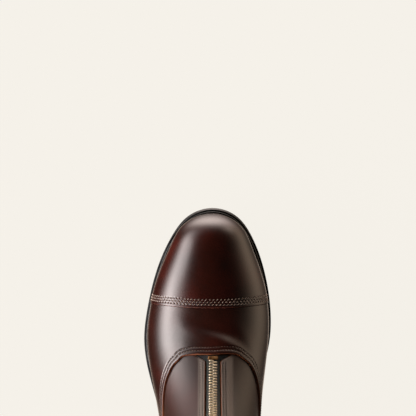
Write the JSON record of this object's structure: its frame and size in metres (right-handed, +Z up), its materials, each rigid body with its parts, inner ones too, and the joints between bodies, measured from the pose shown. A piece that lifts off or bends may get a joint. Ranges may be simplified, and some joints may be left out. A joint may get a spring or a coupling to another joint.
{
  "type": "paddock boot",
  "caption": "Left leather ankle boot for riding, with a toe cap, a U-shaped vamp edge, a front zip and a low heel, standing empty.",
  "frame": {"origin": "middle of the heel's resting face on the floor", "axes": "+Z up, +Y towards the toe, +X towards the inner (medial) side of this left boot"},
  "size_m": [0.0981, 0.2823, 0.1744],
  "materials": {
    "sole_rubber": "matt moulded",
    "welt_rubber": "satin moulded",
    "insole_leather": "plain",
    "brown_leather": "polished",
    "cap_leather": "polished",
    "zip_cloth": "woven",
    "antique_brass": "worn"
  },
  "bodies": {
    "boot": {"outsole": "sole_rubber", "heel": "sole_rubber", "welt": "welt_rubber", "insole": "insole_leather", "upper": "brown_leather", "toe_cap": "cap_leather", "vamp": "brown_leather", "collar_band": "brown_leather", "back_strap": "brown_leather", "zip_tape_lateral": "zip_cloth", "zip_tape_medial": "zip_cloth", "zip_chain": "antique_brass", "zip_bottom_stop": "antique_brass", "zip_slider": "antique_brass"},
    "pull_tab": {"zip_pull": "antique_brass"}
  },
  "joints": [
    {"name": "pull_swing", "type": "hinge", "parent": "boot", "child": "pull_tab", "pos_m": [0, 0.06789, 0.16077], "axis": [1, 0, 0], "range_deg": [0, 150]}
  ]
}
